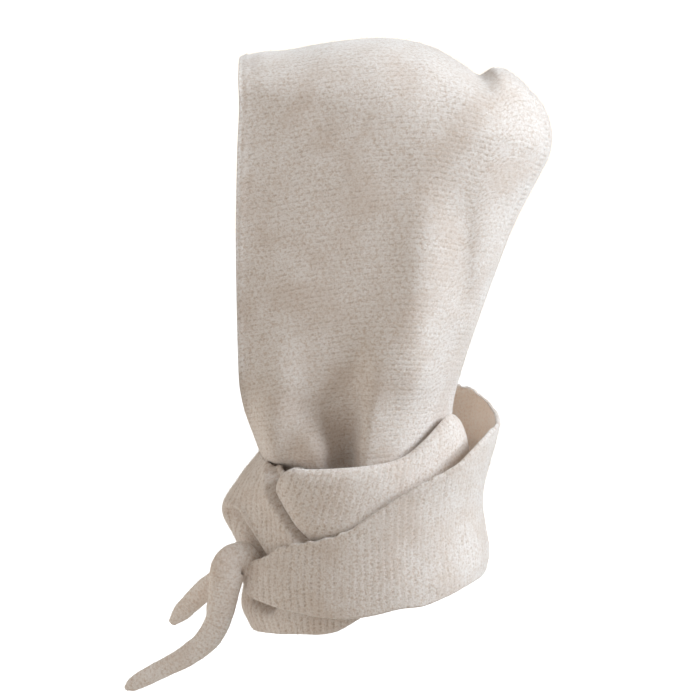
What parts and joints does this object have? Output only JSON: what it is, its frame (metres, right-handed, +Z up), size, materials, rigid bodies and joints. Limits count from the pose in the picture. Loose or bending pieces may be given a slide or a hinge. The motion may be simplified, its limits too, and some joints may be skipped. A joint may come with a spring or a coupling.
{
  "type": "snood hood",
  "caption": "Knitted wool hood with an open face, whose attached scarf winds round the neck and is tied at the front with two hanging ends.",
  "frame": {"origin": "the seat of the crown, where the top of the head meets the inside of the hood", "axes": "+Z up, -Y out of the face opening, +X towards the wearer's left"},
  "size_m": [0.1809, 0.3586, 0.5468],
  "materials": {
    "hood_knit": "matt, brushed oatmeal wool knit",
    "scarf_knit": "matt, brushed oatmeal wool knit, ribs across the band"
  },
  "bodies": {
    "root": {"hood": "hood_knit", "inner_wrap": "scarf_knit", "scarf_band": "scarf_knit", "scarf_front": "scarf_knit", "knot": "scarf_knit", "long_tie": "scarf_knit", "short_tie": "scarf_knit"}
  },
  "joints": []
}
